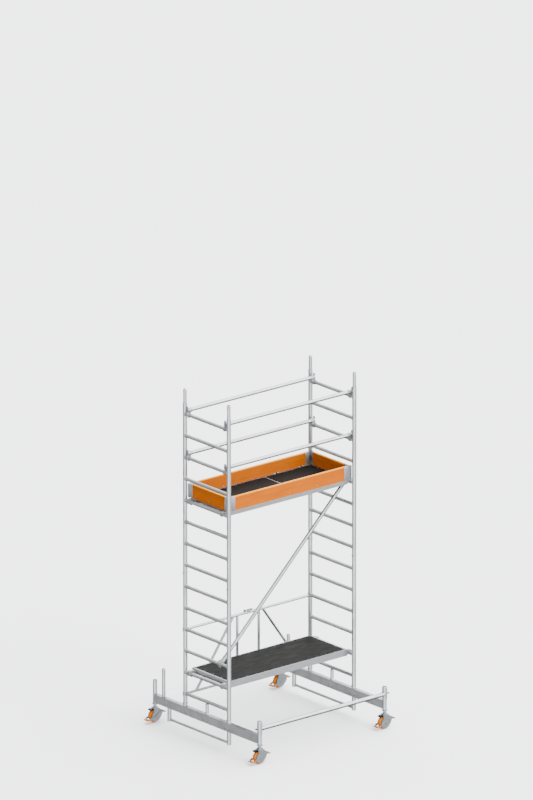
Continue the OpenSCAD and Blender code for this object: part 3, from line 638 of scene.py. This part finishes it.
for name in ("toeboard_front", "toeboard_back"):
    low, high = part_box(name)
    sleeves = bmesh.new()
    skin = sleeveLook["skin"]
    for end in (-1, 1):
        outer = low.x if end < 0 else high.x
        inner = outer - end * sleeveLook["length"]
        a, b = min(outer, inner), max(outer, inner)
        block(sleeves, (a, low.y - skin, low.z - skin / 2), (b, high.y + skin, high.z + skin), 0.6 * mm)
        for k in range(sleeveLook["ribs"]):
            x = a + sleeveLook["length"] * (k + 1) / (sleeveLook["ribs"] + 1)
            block(sleeves, (x - ribLook["half"], low.y - 2 * skin, low.z + ribLook["endIn"]),
                  (x + ribLook["half"], high.y + 2 * skin, high.z - ribLook["endIn"]), ribLook["rounding"])
    makePiece("sleeves_" + name, sleeves, "cast", "tower")
print("toeboard bands, screws, ribs and sleeves made")

castorLook = {
    "tyreDepth": 22 * mm,        # from the tread to the rim
    "tyreRound": 6 * mm,
    "rimDepth": 6 * mm,
    "axleHole": 6.3 * mm,
    "boss": (15 * mm, 17 * mm),  # radius at its face and behind the chamfer
    "bossChamfer": 2 * mm,
    "spokes": 6,
    "spokeHalf": 3 * mm,
    "race": [(38.6 * mm, -9 * mm), (39 * mm, -7 * mm), (39 * mm, -4 * mm), (38.6 * mm, -2 * mm),
             (37.6 * mm, -2 * mm), (37.6 * mm, -9 * mm)],        # radius, height over the fork
    "studs": 6,
    "studCircle": 33 * mm,
    "stud": (3 * mm, 1.5 * mm),
    "shank": 18 * mm,
    "threadPitch": 6 * mm,
    "threadSteps": 16,           # steps in one turn
    "gripRibs": 5,
    "brakePadOut": 60 * mm,      # only the brake pad is further from the axle
    "brakePad": (42 * mm, 12 * mm, 12),                          # length, thickness, tilt in degrees
    "releasePad": (40 * mm, 14 * mm, 25),
}


def wheelPieces(corner):
    low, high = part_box("wheel_" + corner)
    centre, radius = (low + high) / 2, (high.z - low.z) / 2
    tyreBox = max(solids["wheel_" + corner], key=lambda entry: entry[2].x - entry[1].x)
    half = (tyreBox[2].y - tyreBox[1].y) / 2
    boss = (high.y - low.y) / 2
    look = castorLook
    inner = radius - look["tyreDepth"]
    tyre = bmesh.new()
    rounding = look["tyreRound"]
    side = [(inner, -half + 2 * mm), (inner + 3 * mm, -half), (radius - rounding * 1.6, -half)]
    crown = [(radius - rounding * 1.6 + rounding * 1.4 * math.sin(a), -half + rounding * (1 - math.cos(a)))
             for a in (0.4, 0.8, 1.2)]
    profile = side + crown + [(radius - 0.7 * mm, -half + 9 * mm), (radius, 0)]
    profile += [(r, -h) for r, h in reversed(profile[:-1])]
    turned(tyre, profile, centre, (0, 1, 0), 64)
    shown = makePiece("tyre_" + corner, tyre, "tyre", "wheel_" + corner)
    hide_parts("wheel_" + corner)
    hub = bmesh.new()
    rim, hole, spokeHalf = half - look["rimDepth"] / 2, look["axleHole"], look["spokeHalf"]
    bossFace, bossSide = look["boss"]
    bossEdge = boss - look["bossChamfer"]
    turned(hub, [(inner - 6 * mm, -rim), (inner - 0.1 * mm, -rim), (inner - 0.1 * mm, rim),
                 (inner - 6 * mm, rim)], centre, (0, 1, 0), 48)
    turned(hub, [(hole, -boss), (bossFace, -boss), (bossSide, -bossEdge), (bossSide, bossEdge),
                 (bossFace, boss), (hole, boss)], centre, (0, 1, 0), 32)
    turned(hub, [(16 * mm, -3 * mm), (inner - 5 * mm, -2 * mm), (inner - 5 * mm, 2 * mm), (16 * mm, 3 * mm)],
           centre, (0, 1, 0), 48)
    for k in range(look["spokes"]):
        spoke = bmesh.new()
        block(spoke, (bossFace, -rim + 3 * mm, -spokeHalf),
              (inner - 4 * mm, rim - 3 * mm, spokeHalf), 1.2 * mm)
        turn = Matrix.Rotation(2 * math.pi * k / look["spokes"], 4, "Y")
        bmesh.ops.transform(spoke, matrix=Matrix.Translation(centre) @ turn, verts=spoke.verts)
        shape = bpy.data.meshes.new("spoke")
        spoke.to_mesh(shape)
        spoke.free()
        hub.from_mesh(shape)
        bpy.data.meshes.remove(shape)
    makePiece("hub_" + corner, hub, "hub", "wheel_" + corner)
    return centre


def castorPieces(corner):
    look = castorLook
    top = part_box("fork_" + corner)[1].z
    axle = wheelPieces(corner)
    stemLow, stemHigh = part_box("stem_" + corner)
    swivel = (stemLow + stemHigh) / 2
    race = bmesh.new()
    turned(race, look["race"], (swivel.x, swivel.y, top), (0, 0, 1), 64)
    for k in range(look["studs"]):
        angle = 2 * math.pi * k / look["studs"] + 0.5
        dome(race, (swivel.x + look["studCircle"] * math.cos(angle),
                    swivel.y + look["studCircle"] * math.sin(angle), top), (0, 0, 1), *look["stud"])
    makePiece("race_" + corner, race, "zinc", "fork_" + corner)
    thread = bmesh.new()
    stem = max(solids["stem_" + corner], key=lambda entry: entry[2].z - entry[1].z)
    start, end = top + 9 * mm, stem[2].z - 4 * mm
    shank = look["shank"]
    steps = int((end - start) / look["threadPitch"] * look["threadSteps"])
    rows = []
    for step in range(steps + 1):
        angle = 2 * math.pi * step / look["threadSteps"]
        z = start + (end - start) * step / steps
        out = Vector((math.cos(angle), math.sin(angle), 0))
        rows.append([thread.verts.new(Vector((swivel.x, swivel.y, z + dz)) + out * r)
                     for r, dz in ((shank - 0.2 * mm, -1.6 * mm), (shank + 0.22 * mm, -0.6 * mm),
                                   (shank + 0.22 * mm, 0.6 * mm), (shank - 0.2 * mm, 1.6 * mm))])
    for first, second in zip(rows, rows[1:]):
        for k in range(4):
            following = (k + 1) % 4
            thread.faces.new((first[k], first[following], second[following], second[k]))
    thread.faces.new(rows[0])
    thread.faces.new(list(reversed(rows[-1])))
    makePiece("thread_" + corner, thread, "zinc", "stem_" + corner)
    grips = bmesh.new()
    for faces, low, high in solids["pedal_" + corner]:
        if high.y - low.y < sortBy["padWidthOver"]:
            continue                       # an arm, not a pad
        pad = look["brakePad"] if low.x < axle.x - look["brakePadOut"] else look["releasePad"]
        size, tilt = (pad[0], high.y - low.y, pad[1]), math.radians(pad[2])
        turn = Matrix.Rotation(tilt, 4, "Y")
        # the pad was turned about its lowest corner, so that corner comes from the box
        lowest = Vector((low.x, low.y, high.z - size[2] * math.cos(tilt)))
        placed = Matrix.Translation(lowest) @ turn
        for k in range(look["gripRibs"]):
            rib = bmesh.new()
            x = size[0] * (0.14 + 0.18 * k)
            block(rib, (x - 1.6 * mm, 5 * mm, size[2] - 0.6 * mm),
                  (x + 1.6 * mm, size[1] - 5 * mm, size[2] + 1.4 * mm), 0.7 * mm)
            bmesh.ops.transform(rib, matrix=placed, verts=rib.verts)
            shape = bpy.data.meshes.new("rib")
            rib.to_mesh(shape)
            rib.free()
            grips.from_mesh(shape)
            bpy.data.meshes.remove(shape)
    makePiece("grips_" + corner, grips, "pedal", "pedal_" + corner)


for corner in ("fl", "fr", "bl", "br"):
    castorPieces(corner)
print("castors detailed")

stageLook = {
    "azimuth": -40.0,            # the camera looks along +X and +Y from the front left
    "elevation": 18.4,
    "target": Vector((-0.028, 0.023, 3.784)),
    "seenHeight": 8.788,         # metres from the bottom to the top of the view
    "lens": 800.0,               # very long, so that upright lines stay parallel
    "floorHalf": 70.0,
}
turn, tilt = math.radians(stageLook["azimuth"]), math.radians(stageLook["elevation"])
back = Vector((math.sin(turn) * math.cos(tilt), -math.cos(turn) * math.cos(tilt), math.sin(tilt)))
camera = bpy.data.objects.new("camera", bpy.data.cameras.new("camera"))
bpy.context.scene.collection.objects.link(camera)
camera.data.lens = stageLook["lens"]
distance = stageLook["seenHeight"] * camera.data.lens / camera.data.sensor_width
camera.location = stageLook["target"] + back * distance
camera.rotation_mode = "QUATERNION"
camera.rotation_quaternion = (-back).to_track_quat("-Z", "Y")
camera.data.clip_start, camera.data.clip_end = 1.0, 2 * distance
bpy.context.scene.camera = camera

sunLook = {"azimuth": 12.0, "elevation": 38.0, "strength": 3.0, "softness": 26.0}
sun = bpy.data.lights.new("keyLight", "SUN")
sun.energy, sun.angle = sunLook["strength"], math.radians(sunLook["softness"])
keyLight = bpy.data.objects.new("keyLight", sun)
swing, rise = math.radians(sunLook["azimuth"]), math.radians(sunLook["elevation"])
keyLight.rotation_mode = "QUATERNION"
keyLight.rotation_quaternion = Vector((math.sin(swing) * math.cos(rise), -math.cos(swing) * math.cos(rise),
                                       math.sin(rise))).to_track_quat("Z", "Y")
bpy.context.scene.collection.objects.link(keyLight)

airLook = {
    "overhead": ((0.652, -0.1, 0.752), 0.15, 0.75, 5.0),     # aim, where it starts, where it is full, level
    "front": ((-0.6, -0.73, -0.33), 0.5, 0.95, 2.5),
    "around": 0.9,
    "below": 0.12,
    "horizon": (-0.7, -0.25),    # height of the change from below to around
}
world = bpy.data.worlds.new("studioAir")
bpy.context.scene.world = world
world.use_nodes = True
airTree = world.node_tree
air = airTree.nodes["Background"]
air.inputs["Color"].default_value = linearColour("#F6F8FA")
facing = addNode(airTree, "ShaderNodeTexCoord", {}, {}, "Generated")
height = addNode(airTree, "ShaderNodeSeparateXYZ", {}, {0: facing}, "Z")
level = addNode(airTree, "ShaderNodeMapRange", {"interpolation_type": "SMOOTHSTEP"},
                {0: height, 1: airLook["horizon"][0], 2: airLook["horizon"][1],
                 3: airLook["below"], 4: airLook["around"]})
for aim, start, full, strength in (airLook["overhead"], airLook["front"]):
    lean = addNode(airTree, "ShaderNodeVectorMath", {"operation": "DOT_PRODUCT"},
                   {0: facing, 1: aim}, "Value")
    glow = addNode(airTree, "ShaderNodeMapRange", {"interpolation_type": "SMOOTHSTEP"},
                   {0: lean, 1: start, 2: full, 3: 0.0, 4: strength})
    level = addNode(airTree, "ShaderNodeMath", {"operation": "ADD"}, {0: level, 1: glow})
airTree.links.new(level, air.inputs["Strength"])

floorSheet = bmesh.new()
half = stageLook["floorHalf"]
corners = [floorSheet.verts.new((x, y, -0.5 * mm)) for x, y in
           ((-half, -half), (half, -half), (half, half), (-half, half))]
floorSheet.faces.new(corners)
floorMesh = bpy.data.meshes.new("floor")
floorSheet.to_mesh(floorMesh)
floorSheet.free()
floorMesh.materials.append(paperRoll())
floor = bpy.data.objects.new("floor", floorMesh)
bpy.context.scene.collection.objects.link(floor)
floor.visible_glossy = floor.visible_diffuse = False     # the tubes mirror the studio, not the paper
print("camera, light and floor set")
